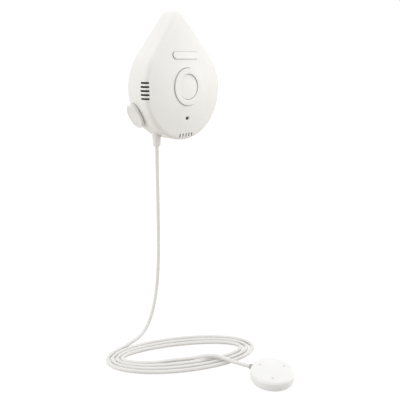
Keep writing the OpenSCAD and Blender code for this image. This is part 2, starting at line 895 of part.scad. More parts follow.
// Point on the oval loops at an angle, and the direction of the cord there
function coil_point(a) =
    let (
        turns = (a - 180) / 360,
        p = [
            (coil_long - coil_step * turns) * cos(a) - coil_drift * turns,
            (coil_short - coil_step * turns) * sin(a)
        ]
    )
    [
        coil_at.x + p.x * cos(coil_turn) - p.y * sin(coil_turn),
        coil_at.y + p.x * sin(coil_turn) + p.y * cos(coil_turn),
        cord_z
    ];
function unit(p) = p / norm(p);
function coil_heading(a) = unit(coil_point(a + 1) - coil_point(a - 1));

// Centres of the loops' rings, with a straight run of one diameter at each end
coil_start = coil_point(coil_from) - cord_d * coil_heading(coil_from);
coil_end = coil_point(coil_to) + cord_d * coil_heading(coil_to);
coil_line = concat(
    [coil_start],
    [for (a = [coil_from : coil_ring : coil_to]) coil_point(a)],
    [coil_end]
);

// Ends of the cord at the plug and at the disc's gland
hang_start = [-plug_left, -plug_w, plug_low - relief_l];
gland_reach = disc_r + gland_out;
tail_end = [
    disc_at.x + gland_reach * cos(disc_turn),
    disc_at.y + gland_reach * sin(disc_turn),
    floor_z + gland_z
];
gland_heading = [-cos(disc_turn), -sin(disc_turn), 0];

// Smooth line through hand-set points, which never dips below the floor
function spline_point(a, b, c, d, t) =
    let (
        p = 0.5 * (2 * b + (c - a) * t + (2 * a - 5 * b + 4 * c - d) * t * t
            + (3 * b - a - 3 * c + d) * t * t * t)
    )
    [p.x, p.y, max(p.z, cord_z)];
function spline(points) =
    let (last = len(points) - 1)
    concat(
        [for (i = [0 : last - 1]) each [for (k = [0 : spline_steps - 1])
            spline_point(
                points[max(i - 1, 0)], points[i], points[i + 1], points[min(i + 2, last)], k / spline_steps
            )]],
        [points[last]]
    );

// Rings of a tube along a line, square to given headings at its two ends
function tube_ring(p, along, side, r, sides) =
    let (
        across = unit(cross(side, along)),
        up = cross(along, across)
    )
    [for (i = [0 : sides - 1]) p + r * (cos(360 * i / sides) * across + sin(360 * i / sides) * up)];
function tube_rings(line, first, last, side, r, sides) =
    let (end = len(line) - 1)
    [for (i = [0 : end])
        let (along = i == 0 ? first : i == end ? last : unit(line[i + 1] - line[i - 1]))
        tube_ring(line[i], along, side, r, sides)];
module tube(line, first, last, side, sides) {
    loft(line[0], tube_rings(line, first, last, side, cord_r, sides), line[len(line) - 1]);
}

hang_line = spline(concat([hang_start], hang_points, [coil_start]));
tail_line = spline(concat([coil_end], tail_points, [tail_end]));
module cord_hang() {
    color("white") tube(hang_line, [0, 0, -1], coil_heading(coil_from), [0, 1, 0], cord_sides);
}
module cord_coil() {
    color("white") tube(coil_line, coil_heading(coil_from), coil_heading(coil_to), [0, 0, 1], coil_sides);
}
module cord_tail() {
    color("white") tube(tail_line, coil_heading(coil_to), gland_heading, [0, 0, 1], cord_sides);
}

// Least gap between strands of the loops, and the cord's whole length
function steps_of(line) = [for (i = [1 : len(line) - 1]) norm(line[i] - line[i - 1])];
function total(list) = list * [for (item = list) 1];
coil_gap = min([for (i = [0 : len(coil_line) - 1]) for (j = [i + coil_apart : 1 : len(coil_line) - 1])
    norm(coil_line[i] - coil_line[j])]) - cord_d;
cord_length = total(steps_of(hang_line)) + total(steps_of(coil_line)) + total(steps_of(tail_line));
echo(coil_gap = coil_gap, cord_length = cord_length);

// Sensing disc: turned cover, base, seal, contacts, board, screws and gland
module disc_cover() {
    color("white") on_disc() difference() {
        union() {
            rotate_extrude() polygon(concat(
                [[disc_inner_r, disc_part], [disc_r, disc_part]],
                arc([disc_r - disc_edge, disc_h - disc_edge], disc_edge, 0, 90, 6),
                [[0, disc_h], [0, disc_h - disc_top], [disc_inner_r, disc_h - disc_top]]
            ));
            around_disc(screw_turn) rod(disc_boss_r, disc_spigot, disc_h - disc_top + embed);
        }
        around_disc(contact_turn) rod(contact_r + contact_play, disc_part, disc_h + over);
        around_disc(screw_turn) rod(disc_screw_r + disc_screw_play, disc_part, disc_screw_top + seat_gap);
        translate([0, 0, gland_z]) rotate([0, 90, 0])
            cylinder(r = gland_r + contact_play, h = disc_r + over);
    }
}
disc_screw_from = contact_foot + disc_screw_head_h + disc_screw_sink;
disc_screw_top = disc_screw_from + disc_screw_l;
module disc_base() {
    color("whitesmoke") on_disc() difference() {
        union() {
            rod(disc_r - disc_base_inset, contact_foot, disc_part);
            rod(disc_inner_r - fit_gap, disc_part - embed, disc_spigot);
        }
        difference() {
            rod(disc_r, disc_seal_from, disc_seal_from + disc_seal_h);
            rod(disc_inner_r - fit_gap - disc_seal_w, disc_part, disc_h);
        }
        around_disc(contact_turn) rod(contact_r + contact_play, 0, disc_h);
        around_disc(screw_turn) rod(disc_screw_r + screw_clear, 0, disc_h);
        around_disc(screw_turn) rod(disc_screw_head_r + screw_clear, 0, disc_screw_from);
    }
}
module disc_seal() {
    color("dimgray") on_disc() difference() {
        rod(disc_inner_r - seal_gap, disc_seal_from + seal_gap, disc_seal_from + disc_seal_h - seal_gap);
        rod(disc_inner_r - fit_gap - disc_seal_w + seal_gap, 0, disc_h);
    }
}
module disc_contacts() {
    color("silver") on_disc() around_disc(contact_turn) {
        rod(contact_r, 0, disc_h - contact_recess);
        rod(contact_r + contact_flange, disc_spigot, disc_spigot + contact_flange);
    }
}
module disc_board() {
    low = disc_spigot + contact_flange;
    color("seagreen") on_disc() difference() {
        rod(disc_board_r, low, low + disc_board_t);
        around_disc(contact_turn) rod(contact_r + contact_play, 0, disc_h);
        around_disc(screw_turn) rod(disc_boss_r + seat_gap, 0, disc_h);
    }
}
module disc_screws() {
    color("silver") on_disc() around_disc(screw_turn) {
        rod(disc_screw_head_r, disc_screw_from - disc_screw_head_h, disc_screw_from);
        rod(disc_screw_r, disc_screw_from - disc_screw_head_h / 2, disc_screw_top);
    }
}
module disc_gland() {
    color("gray") on_disc() translate([0, 0, gland_z]) rotate([0, 90, 0]) rotate_extrude() polygon([
        [0, disc_inner_r + contact_play], [gland_r, disc_inner_r + contact_play], [gland_r, disc_r],
        [gland_collar_r, disc_r + contact_play], [gland_collar_r, disc_r + gland_out / 3],
        [cord_r + relief_wall, gland_reach], [0, gland_reach]
    ]);
}

front_cover();
indicator_lens();
side_button();
switch_plunger();
back_cover();
housing_seal();
housing_screws();
battery_door();
battery();
positive_contact();
negative_contact();
circuit_board();
board_screws();
side_switch();
reset_switch();
reset_plunger();
cable_jack();
radio_module();
control_chips();
sounder();
humidity_sensor();
light_board();
indicator_leds();
plug_body();
plug_pin();
cord_hang();
cord_coil();
cord_tail();
disc_cover();
disc_base();
disc_seal();
disc_contacts();
disc_board();
disc_screws();
disc_gland();
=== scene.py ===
# Looks of a drop-shaped water leak sensor, with a sensing disc on a thin cord.
import json
import math

import bmesh
import bpy
import numpy as np
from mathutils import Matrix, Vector


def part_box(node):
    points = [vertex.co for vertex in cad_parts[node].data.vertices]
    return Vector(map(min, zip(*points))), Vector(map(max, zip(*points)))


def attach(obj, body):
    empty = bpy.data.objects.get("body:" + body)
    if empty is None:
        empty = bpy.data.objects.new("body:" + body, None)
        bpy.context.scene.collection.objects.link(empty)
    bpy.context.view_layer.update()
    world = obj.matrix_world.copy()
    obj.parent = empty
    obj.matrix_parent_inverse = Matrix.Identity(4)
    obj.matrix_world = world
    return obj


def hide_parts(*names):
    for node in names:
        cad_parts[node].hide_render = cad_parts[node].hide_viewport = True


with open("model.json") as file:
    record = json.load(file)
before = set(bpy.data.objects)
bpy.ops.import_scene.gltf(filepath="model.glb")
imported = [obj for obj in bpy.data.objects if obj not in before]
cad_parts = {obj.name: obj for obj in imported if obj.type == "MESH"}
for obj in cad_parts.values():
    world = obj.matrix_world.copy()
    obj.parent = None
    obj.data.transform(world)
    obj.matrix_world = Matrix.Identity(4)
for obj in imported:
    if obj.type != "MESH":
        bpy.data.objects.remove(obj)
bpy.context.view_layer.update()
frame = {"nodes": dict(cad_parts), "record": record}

# Unit, distances below which points are one, slots of a mesh's finishes, axes and small roundings
MM = 0.001
WELD = 1e-7
SLIVER = 1e-6
# Slots 1 and 2 hold painted shade: slot 1 is near black inside the shell and dark grey on the light bar's
# skirt, and slot 2 is dark grey in gaps, grooves and cut walls
PALE, PAINTED_SHADE, PAINTED_GAP_SHADE = 0, 1, 2
Y_AXIS, Z_AXIS = 1, 2
SMOOTH_ANGLE = 35
ROUND_SHARE = 0.3

# Housing, with its width and height taken from the frame
COVER_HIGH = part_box("front_cover")[1]
R = COVER_HIGH.x
APEX = COVER_HIGH.z
COVER_REAR = -COVER_HIGH.y
TIP_R = 6 * MM
RIDGE_DEPTH = 27 * MM
TIP_DROP = 7 * MM
CROWN = 5 * MM
EDGE_R, INNER_EDGE_R = 4 * MM, 1.8 * MM
WALL = 2.2 * MM
REAR_ROUND = 0.5 * MM
TIP_V = APEX - TIP_R
SIDE_A = math.asin((R - TIP_R) / TIP_V)
KNEE_V = R * math.sin(SIDE_A)
TIP_FROM = TIP_V + TIP_R * math.sin(SIDE_A)
SLOPE = math.atan(2 * CROWN / R)
LEAST_CHORD = 0.01 * MM ** 2
MIN_TIP_R = 0.3 * MM
CUT_DEEP, CUT_FAR = 6 * MM, 60 * MM
TIP_STEPS, SIDE_STEPS, ARC_STEPS = 20, 26, 150
WALL_STEPS, EDGE_STEPS, FACE_STEPS = 10, 10, 26
FACE_FROM, FACE_TO = 0.9, 0.03

# Light bar
LENS_W, LENS_H, LENS_V = 29.5 * MM, 6 * MM, 29 * MM
LENS_PROUD, LENS_DEEP, LENS_ROUND = 0.8 * MM, 2.5 * MM, 0.45 * MM
LENS_GAP, LENS_END_GAP = 0.14 * MM, 0.4 * MM
LENS_ROUND_FROM, LENS_ROUND_STEPS = 0.2, 6
LENS_SHARES = (0.75, 0.5, 0.25, 0)
LENS_SMOOTH = 50
STADIUM_STEPS = 20

# Raised ring, reset hole, vents and slits
RING_R, RING_BAND, RING_V, RING_PROUD = 16 * MM, 5 * MM, 2.5 * MM, 0.4 * MM
RING_ROUND, RING_ROUND_STEPS, RING_STEPS = 0.2 * MM, 5, 128
RING_GROOVE, RING_GROOVE_DEEP = 0.42 * MM, 0.8 * MM
PINHOLE_V, PINHOLE_R, PINHOLE_SINK_R, PINHOLE_RIM = -25 * MM, 1.1 * MM, 2.3 * MM, 0.3 * MM
PINHOLE_STEPS = 40
VENT_COUNT, VENT_V, VENT_PITCH, VENT_H = 5, 0.5 * MM, 3.25 * MM, 1.5 * MM
VENT_FACE, VENT_SIDE, VENT_PAST = 3.6 * MM, 6.2 * MM, 1 * MM
SLIT_COUNT, SLIT_PITCH, SLIT_W, SLIT_L, SLIT_IN = 5, 3.6 * MM, 1 * MM, 3.2 * MM, 2.9 * MM

# Side button: a cap that stands clear of the wall, on a neck
BUTTON_A = math.radians(27.5)
NECK_W, NECK_L, NECK_H, NECK_GAP = 10.45 * MM, 16 * MM, 7.6 * MM, 0.25 * MM
STEM_FROM, STEM_R = 34.7 * MM, 1.5 * MM
FLANGE, FLANGE_T, SEAT_GAP = 1.2 * MM, 1.2 * MM, 0.3 * MM
FLANGE_TOP = math.sqrt((R - WALL) ** 2 - (NECK_L / 2 + FLANGE) ** 2) - SEAT_GAP
CAP_W, CAP_L, CAP_H, CAP_PROUD = 8.4 * MM, 22.8 * MM, 15.2 * MM, 3.9 * MM
CAP_LEAN = math.tan(math.radians(5))
CAP_UNDER = R + 1.05 * MM
CAP_EDGE, CAP_ROUND, CAP_DISH, CAP_DISH_IN = 0.3 * MM, 1 * MM, 0.2 * MM, 2.6 * MM
CAP_ROUND_STEPS, CAP_DISH_STEPS, OVAL_STEPS = 10, 12, 96
CAP_SHARES = (0.7, 0.4, 0.1)
BUTTON_SMOOTH = 30

# Cord: diameter, floor, loops with their angles in degrees, and listed points of its two free runs
CORD_D = 3.4 * MM
CORD_ROUND_STEPS, SPLINE_STEPS = 6, 8
FLOOR_Z = -240 * MM
CORD_Z = FLOOR_Z + CORD_D / 2
COIL_AT = (-31.7 * MM, -55.3 * MM)
COIL_TURN = math.radians(-34.5)
COIL_LONG, COIL_SHORT, COIL_STEP, COIL_DRIFT = 69.5 * MM, 28.3 * MM, 5 * MM, 0.6 * MM
COIL_FROM, COIL_TO, COIL_RING, COIL_COUNT_FROM = 150, 1320, 5, 180
HANG_POINTS = [
    (-21.5, -12, -70), (-21.6, -12, -94), (-21.8, -12, -118), (-22.2, -12, -140), (-23, -12, -160),
    (-24.6, -12, -178), (-27.2, -11.9, -195), (-31, -11.6, -210), (-35.8, -11.2, -221.5),
    (-41.4, -10.7, -229.8), (-48.2, -10.4, -234.3), (-55.2, -9.9, -236), (-62.6, -9.4, -237.6),
]
TAIL_POINTS = [
    (-55.5, -52.3, -238.3), (-48, -56.9, -238.3), (-40.5, -62.1, -238.3), (-33.9, -67.6, -237.7),
    (-29.2, -72.9, -236), (-25.1, -77.9, -234.4), (-21.3, -81.8, -234), (-17.7, -86, -234.1),
    (-15.4, -92.4, -234.2), (-13.6, -100.6, -234.2), (-11.2, -107.4, -234.5),
]

# Plug, with its place and size taken from the frame
PLUG_LOW, PLUG_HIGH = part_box("plug_body")
PLUG_AT = Vector(((PLUG_LOW.x + PLUG_HIGH.x) / 2, (PLUG_LOW.y + PLUG_HIGH.y) / 2, 0))
PLUG_R = (PLUG_HIGH.x - PLUG_LOW.x) / 2
PLUG_TAPER, PLUG_TAPER_L, PLUG_HOLE = 0.45 * MM, 10 * MM, 0.25 * MM
PLUG_STRAIGHT_SHARES, PLUG_TAPER_SHARES = (0.1, 0.5, 1), (0.5, 1)
PLUG_ROUND, PLUG_ROUND_FROM, PLUG_ROUND_STEPS = 0.7 * MM, 0.25, 5
RELIEF_L, RELIEF_R, RELIEF_WALL = 1.4 * MM, 2.1 * MM, 0.25 * MM
RELIEF_FLARE, RELIEF_FLARE_L = 0.3 * MM, 0.2 * MM
PLUG_STEPS, PLUG_HOLE_STEPS = 64, 48
PLUG_SMOOTH = 40

# Sensing disc, with its place and size taken from the frame
DISC_LOW, DISC_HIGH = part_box("disc_cover")
DISC_AT = Vector(((DISC_LOW.x + DISC_HIGH.x) / 2, (DISC_LOW.y + DISC_HIGH.y) / 2, 0))
DISC_R = (DISC_HIGH.x - DISC_LOW.x) / 2
DISC_TURN = math.radians(105)
DISC_WALL, DISC_ROOF = 1.6 * MM, 1.8 * MM
DISC_EDGE, DISC_LOW_EDGE = 3.2 * MM, 0.25 * MM
DISC_EDGE_STEPS, DISC_SIDE_STEPS, DISC_STEPS = 11, 5, 144
DISC_SHARES = (0.9, 0.7, 0.5, 0.3, 0.1)
CONTACT_COUNT, CONTACT_TURN = 3, math.radians(100)
CONTACT_RING_R, CONTACT_R, CONTACT_PAST = 12 * MM, 1.25 * MM, 1 * MM
DIMPLE_DEEP, DIMPLE_FLARE, DIMPLE_STEPS = 0.35 * MM, 0.7 * MM, 32
GLAND_Z = FLOOR_Z + 4.6 * MM
GLAND_OUT = 2.4 * MM

# Screws: shares of the head's radius or height for the head, and of the shank's radius for the thread
HEAD_H, HEAD_DOME, DOME_ANGLES = 0.65, 0.3, (0.4, 0.8, 1.2)
CROSS_LONG, CROSS_WIDE, CROSS_DEEP = 0.62, 0.13, 0.7
HOUSING_SHANK, DISC_SHANK = 0.48, 0.44
THREAD_PITCH, THREAD_ROOT = 0.8, 0.8
POINT_L, POINT_R = 2, 0.2
SCREW_STEPS = 40

# Camera, fitted to the photograph
CAMERA_AT = (-0.29911, -0.34826, 0.02527)
CAMERA_AZIMUTH = math.radians(44.7)
CAMERA_DOWN = math.radians(16.2)
FOCAL_PIXELS = 484
IMAGE_WIDTH = 400
SENSOR = 36

# Light: the world with its dimmer near side, the floor, and each lamp's name, place, aim, size and power
AMBIENT = 0.95
NEAR_SIDE, NEAR_FROM = 0.36, 0.5
FLOOR_HALF, FLOOR_UNDER = 30, 0.05 * MM
FLOOR_GLOW = 0.72
FLOOR_SEEN = (0.38, 0.38, 0.38)
FLOOR_BOUNCE = (0.56, 0.53, 0.5)
UNIT_AIM, FACE_AIM = (0, 0, -0.05), (0, -0.02, 0.05)
LAMPS = [
    ("right_box", (0.84, -0.91, 0), UNIT_AIM, 0.8, 4.1),
    ("left_box", (-0.99, 0.25, 0), UNIT_AIM, 0.8, 3.6),
    ("top_box", (0.12, -0.21, 0.37), FACE_AIM, 0.25, 0.38),
]

# Finishes: the warm white of the mouldings, noise and the range that it mostly fills, gloss and relief
WARM_WHITE = (0.868, 0.863, 0.834)
NOISE_LOW, NOISE_HIGH = 0.3, 0.7
NOISE_DETAIL, FINE_DETAIL = 3, 2
GLOSS_VARY = 0.05
SUBSURFACE_RADIUS, SUBSURFACE_SCALE = (1.0, 0.9, 0.8), 1.5 * MM
TRACK_SCALE, TRACK_WIDTH, TRACK_RAISE = 190, 0.012, 0.03 * MM
BOARD_GRAIN, BOARD_GLOSS = 400, (0.3, 0.45)
SLEEVE_GRAIN, SLEEVE_GLOSS = 500, (0.26, 0.4)
SLEEVE_FINE_GRAIN, SLEEVE_RELIEF = 900, 0.02 * MM


# Flat outlines
def arc(centre, radius, start, end, steps):
    a = np.linspace(start, end, steps + 1)
    return np.stack([centre[0] + radius * np.cos(a), centre[1] + radius * np.sin(a)], 1)


def circle(steps):
    """Points of a circle of radius 1."""
    a = np.linspace(0, 2 * math.pi, steps, endpoint=False)
    return np.stack([np.cos(a), np.sin(a)], 1)


def oval(height, length):
    return circle(OVAL_STEPS) * (height / 2, length / 2)


def rectangle(u0, u1, v0, v1):
    return np.array([(u0, v0), (u1, v0), (u1, v1), (u0, v1)])


def between(start, end, steps):
    """Points inside a straight side, without its ends."""
    return start + (end - start) * (np.arange(1, steps) / steps)[:, None]


def stadium(length, height):
    """Outline with round ends, as many points along each straight side as round an end."""
    reach = (length - height) / 2
    right = arc((reach, 0), height / 2, -math.pi / 2, math.pi / 2, STADIUM_STEPS)
    left = arc((-reach, 0), height / 2, math.pi / 2, 1.5 * math.pi, STADIUM_STEPS)
    top = between(right[-1], left[0], STADIUM_STEPS)
    low = between(left[-1], right[0], STADIUM_STEPS)
    return np.concatenate([right, top, left, low])


def outline(inset):
    """The drop, moved inwards by an inset: two circles and their tangents."""
    big = R - inset
    small = max(TIP_R - inset, MIN_TIP_R)
    top = (0, (big - small) / math.sin(SIDE_A))
    tip = arc(top, small, SIDE_A, math.pi - SIDE_A, TIP_STEPS)
    low = arc((0, 0), big, math.pi - SIDE_A, 2 * math.pi + SIDE_A, ARC_STEPS)
    left = between(tip[-1], low[0], SIDE_STEPS)
    right = between(low[-1], tip[0], SIDE_STEPS)
    return np.concatenate([tip, left, low, right])


# Form of the drop, in face coordinates: u to the right, v up, w out of the wall
def ridge(v):
    """Depth of the ridge, which drops towards the tip."""
    return RIDGE_DEPTH - TIP_DROP * (np.maximum(v, 0) / APEX) ** 2


def half_chord(radius, offset):
    return np.sqrt(np.maximum(radius ** 2 - offset ** 2, LEAST_CHORD))


def half_width(v):
    """Half of the drop's width at a height."""
    side = (R - v * math.sin(SIDE_A)) / math.cos(SIDE_A)
    upper = np.where(v < TIP_FROM, side, half_chord(TIP_R, v - TIP_V))
    return np.where(v < KNEE_V, half_chord(R, v), upper)


def face(u, v):
    """Depth of the crowned face at a point."""
    u, v = np.asarray(u, float), np.asarray(v, float)
    t = v / np.where(v < 0, R, APEX)
    share = np.where(v < 0, 1 - t ** 2, 1 - 2 * t ** 2 + t ** 3)
    return ridge(v) + CROWN * share * np.maximum(1 - (u / half_width(v)) ** 2, 0)


def with_depth(flat, w):
    return np.column_stack([flat, np.broadcast_to(w, len(flat))])


def on_wall(points):
    """Points of the scene from face coordinates."""
    points = np.asarray(points, float)
    return np.stack([points[:, 0], -points[:, 2], points[:, 1]], 1)


def wall_point(u, v, w):
    return on_wall([(u, v, w)])[0]


def wall_circles(levels, at, steps):
    """Circles round a point of the face, one for each radius and depth."""
    return [on_wall(with_depth(circle(steps) * r + at, w)) for r, w in levels]


# Meshes
def loft(rings, first=None, last=None):
    """Verts and faces through equal rings; an end with a point is a fan, and one without is open."""
    n = len(rings[0])
    verts = [tuple(p) for ring in rings for p in ring]
    faces = []
    for k in range(len(rings) - 1):
        a, b = k * n, (k + 1) * n
        faces += [(a + i, a + (i + 1) % n, b + (i + 1) % n, b + i) for i in range(n)]
    for point, start in ((first, 0), (last, (len(rings) - 1) * n)):
        if point is not None:
            verts.append(tuple(point))
            faces += [(len(verts) - 1, start + i, start + (i + 1) % n) for i in range(n)]
    return verts, faces


def lathe(profile, at, steps):
    """Verts and faces of a profile of (radius, height) turned about a vertical line."""
    x, y = at[0], at[1]
    rings = [with_depth(circle(steps) * r + (x, y), z) for r, z in profile if r > 0]
    ends = [(x, y, z) if r == 0 else None for r, z in (profile[0], profile[-1])]
    return loft(rings, *ends)


def prism(flat, low, high):
    """Closed prism over a flat outline, in face coordinates."""
    ends = [wall_point(*flat.mean(0), w) for w in (low, high)]
    return loft([on_wall(with_depth(flat, w)) for w in (low, high)], *ends)


def tube(inside, outside, at, low, high):
    """Closed ring on the face, from one depth to another."""
    levels = ((outside, low), (outside, high), (inside, high), (inside, low))
    rings = wall_circles(levels, at, RING_STEPS)
    return loft(rings + rings[:1])


def add_object(name, data):
    made = bpy.data.objects.new(name, data)
    bpy.context.scene.collection.objects.link(made)
    return made


def welded(mesh, dist):
    """A copy of a mesh for mending, with points that lie closer than a distance joined."""
    copy = bmesh.new()
    copy.from_mesh(mesh)
    bmesh.ops.remove_doubles(copy, verts=copy.verts, dist=dist)
    return copy


def add_mesh(name, verts, faces, *materials):
    mesh = bpy.data.meshes.new(name)
    mesh.from_pydata([tuple(v) for v in verts], [], faces)
    copy = welded(mesh, WELD)
    bmesh.ops.recalc_face_normals(copy, faces=copy.faces)
    copy.to_mesh(mesh)
    copy.free()
    for material in materials:
        mesh.materials.append(material)
    return add_object(name, mesh)


def smooth(piece, angle=SMOOTH_ANGLE):
    mesh = piece.data
    mesh.polygons.foreach_set("use_smooth", np.ones(len(mesh.polygons), bool))
    mesh.set_sharp_from_angle(angle=math.radians(angle))


def carve(piece, cutters):
    """Cuts closed solids out of a piece; each is its verts, its faces and the slot of its finish."""
    verts, faces, slots = [], [], []
    for points, loops, slot in cutters:
        faces += [tuple(i + len(verts) for i in loop) for loop in loops]
        verts += [tuple(point) for point in points]
        slots += [slot] * len(loops) if isinstance(slot, int) else slot
    tool = add_mesh(piece.name + "_cut", verts, faces, *piece.data.materials)
    tool.data.polygons.foreach_set("material_index", slots)
    cut = piece.modifiers.new("cut", "BOOLEAN")
    cut.operation = "DIFFERENCE"
    cut.solver = "EXACT"
    cut.object = tool
    made = bpy.data.meshes.new_from_object(piece.evaluated_get(bpy.context.evaluated_depsgraph_get()))
    copy = welded(made, SLIVER)
    bmesh.ops.dissolve_degenerate(copy, edges=copy.edges, dist=SLIVER)
    copy.to_mesh(made)
    copy.free()
    piece.modifiers.clear()
    piece.data = made
    bpy.data.objects.remove(tool)


def set_piece(piece, body, slot, *nodes):
    """Says which body a piece rides and the nodes of the frame that it stands for; the slot is not used."""
    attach(piece, body)
    if nodes:
        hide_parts(*nodes)
    return piece


# Materials
def principled(name):
    material = bpy.data.materials.new(name)
    material.use_nodes = True
    tree = material.node_tree
    return material, tree, tree.nodes["Principled BSDF"]


def set_inputs(node, values):
    for name, value in values.items():
        node.inputs[name].default_value = value


def object_place(tree):
    return tree.nodes.new("ShaderNodeTexCoord").outputs["Object"]


def noise(tree, scale, detail=NOISE_DETAIL, stretch=None):
    texture = tree.nodes.new("ShaderNodeTexNoise")
    set_inputs(texture, {"Scale": scale, "Detail": detail})
    where = object_place(tree)
    if stretch is not None:
        mapping = tree.nodes.new("ShaderNodeMapping")
        mapping.inputs["Scale"].default_value = stretch
        tree.links.new(where, mapping.inputs["Vector"])
        where = mapping.outputs["Vector"]
    tree.links.new(where, texture.inputs["Vector"])
    return texture.outputs["Fac"]


def ramp(tree, value, stops):
    """Colours by value, through stops of a place and a colour."""
    node = tree.nodes.new("ShaderNodeValToRGB")
    elements = node.color_ramp.elements
    while len(elements) < len(stops):
        elements.new(0.5)
    for element, (place, colour) in zip(elements, stops):
        element.position = place
        element.color = (*colour, 1)
    tree.links.new(value, node.inputs["Fac"])
    return node.outputs["Color"]


def spread(tree, value, low, high):
    """Maps the range that noise mostly fills to another."""
    node = tree.nodes.new("ShaderNodeMapRange")
    set_inputs(node, {"From Min": NOISE_LOW, "From Max": NOISE_HIGH, "To Min": low, "To Max": high})
    tree.links.new(value, node.inputs["Value"])
    return node.outputs["Result"]


def bump(tree, value, depth):
    node = tree.nodes.new("ShaderNodeBump")
    node.inputs["Distance"].default_value = depth
    tree.links.new(value, node.inputs["Height"])
    return node.outputs["Normal"]


def shade(colour, factor):
    return tuple(min(c * factor, 1) for c in colour)


def finish(name, colour, rough, vary=0.02, blotch=30, grain=1600, depth=0.012 * MM, metallic=0.0,
           stretch=None, coat=0.0, subsurface=0.0):
    """A surface with soft changes of tone, uneven gloss and a fine grain in relief."""
    material, tree, shader = principled(name)
    stops = [(NOISE_LOW, shade(colour, 1 - vary)), (NOISE_HIGH, shade(colour, 1 + vary))]
    tones = ramp(tree, noise(tree, blotch), stops)
    fine = noise(tree, grain, FINE_DETAIL, stretch)
    gloss = spread(tree, fine, rough - GLOSS_VARY, rough + GLOSS_VARY)
    tree.links.new(tones, shader.inputs["Base Color"])
    tree.links.new(gloss, shader.inputs["Roughness"])
    tree.links.new(bump(tree, fine, depth), shader.inputs["Normal"])
    set_inputs(shader, {
        "Metallic": metallic, "Coat Weight": coat, "Subsurface Weight": subsurface,
        "Subsurface Radius": SUBSURFACE_RADIUS, "Subsurface Scale": SUBSURFACE_SCALE,
    })
    return material


def board_finish(name):
    """Solder mask with thin raised tracks."""
    material, tree, shader = principled(name)
    tracks = tree.nodes.new("ShaderNodeTexBrick")
    set_inputs(tracks, {
        "Scale": TRACK_SCALE, "Mortar Size": TRACK_WIDTH, "Mortar": (0.08, 0.33, 0.13, 1),
        "Color1": (0.02, 0.16, 0.07, 1), "Color2": (0.025, 0.19, 0.085, 1),
    })
    tree.links.new(object_place(tree), tracks.inputs["Vector"])
    tree.links.new(tracks.outputs["Color"], shader.inputs["Base Color"])
    tree.links.new(bump(tree, tracks.outputs["Fac"], TRACK_RAISE), shader.inputs["Normal"])
    tree.links.new(spread(tree, noise(tree, BOARD_GRAIN), *BOARD_GLOSS), shader.inputs["Roughness"])
    return material


def battery_finish(name):
    """Dark sleeve with one lighter band round the cell and a bare end."""
    material, tree, shader = principled(name)
    split = tree.nodes.new("ShaderNodeSeparateXYZ")
    tree.links.new(object_place(tree), split.inputs["Vector"])
    along = tree.nodes.new("ShaderNodeMapRange")
    low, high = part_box("battery")
    set_inputs(along, {"From Min": low.x, "From Max": high.x})
    tree.links.new(split.outputs["X"], along.inputs["Value"])
    dark, pale, bare = (0.03, 0.045, 0.07), (0.42, 0.44, 0.46), (0.6, 0.6, 0.58)
    bands = [(0, dark), (0.66, dark), (0.67, pale), (0.72, pale), (0.73, dark), (0.95, dark), (0.955, bare)]
    tree.links.new(ramp(tree, along.outputs["Result"], bands), shader.inputs["Base Color"])
    tree.links.new(spread(tree, noise(tree, SLEEVE_GRAIN), *SLEEVE_GLOSS), shader.inputs["Roughness"])
    tree.links.new(bump(tree, noise(tree, SLEEVE_FINE_GRAIN), SLEEVE_RELIEF), shader.inputs["Normal"])
    return material


housing_white = finish("housing_white", WARM_WHITE, 0.42)
# Painted shade, dark grey, for the walls of gaps, grooves, slits and cut openings and for the light bar's
# skirt
gap_painted_shade = finish("gap_painted_shade", (0.1, 0.098, 0.09), 0.7, vary=0.1)
# Painted shade, near black, for the inside of the shell, the vents and the reset hole's bore
inside_painted_shade = finish("inside_painted_shade", (0.012, 0.012, 0.012), 0.8, vary=0.1)
lens_white = finish("lens_white", (0.885, 0.88, 0.85), 0.3, vary=0.008, depth=0.003 * MM, subsurface=0.25)
button_white = finish("button_white", shade(WARM_WHITE, 0.985), 0.4)
back_white = finish("back_white", shade(WARM_WHITE, 0.97), 0.55, grain=1100, depth=0.03 * MM)
plug_white = finish("plug_white", (0.83, 0.805, 0.785), 0.5, vary=0.025, depth=0.02 * MM)
cord_white = finish("cord_white", (0.79, 0.778, 0.752), 0.46, blotch=60, depth=0.02 * MM)
disc_white = finish("disc_white", (0.86, 0.856, 0.842), 0.4)
gland_grey = finish("gland_grey", (0.4, 0.4, 0.41), 0.6, vary=0.06, depth=0.03 * MM)
seal_rubber = finish("seal_rubber", (0.03, 0.03, 0.03), 0.7, vary=0.1)
screw_steel = finish("screw_steel", (0.56, 0.56, 0.55), 0.3, vary=0.05, metallic=1.0, stretch=(1, 12, 1))
contact_metal = finish("contact_metal", (0.8, 0.79, 0.77), 0.3, vary=0.04, metallic=1.0)
switch_black = finish("switch_black", (0.025, 0.025, 0.027), 0.5, vary=0.08)
led_yellow = finish("led_yellow", (0.8, 0.68, 0.25), 0.2, vary=0.04, coat=0.5)
SLOT_FINISH = {
    "housing_white": housing_white, "lens_white": lens_white, "button_white": button_white,
    "back_white": back_white, "seal_rubber": seal_rubber, "screw_steel": screw_steel,
    "battery_sleeve": battery_finish("battery_sleeve"), "contact_metal": contact_metal,
    "board_green": board_finish("board_green"), "switch_black": switch_black, "led_yellow": led_yellow,
    "plug_white": plug_white, "cord_white": cord_white, "disc_white": disc_white, "gland_grey": gland_grey,
}


def dress_frame():
    """Gives each solid of the frame the finish of its slot."""
    for part in frame["record"]["subparts"]:
        mesh = frame["nodes"][part["node"]].data
        mesh.materials.clear()
        mesh.materials.append(SLOT_FINISH[part["material_slot"]])


# Camera
def face_along(thing, at, ahead):
    """Puts a camera or a lamp at a point and turns it along a direction."""
    thing.location = at
    thing.rotation_euler = ahead.to_track_quat("-Z", "Y").to_euler()


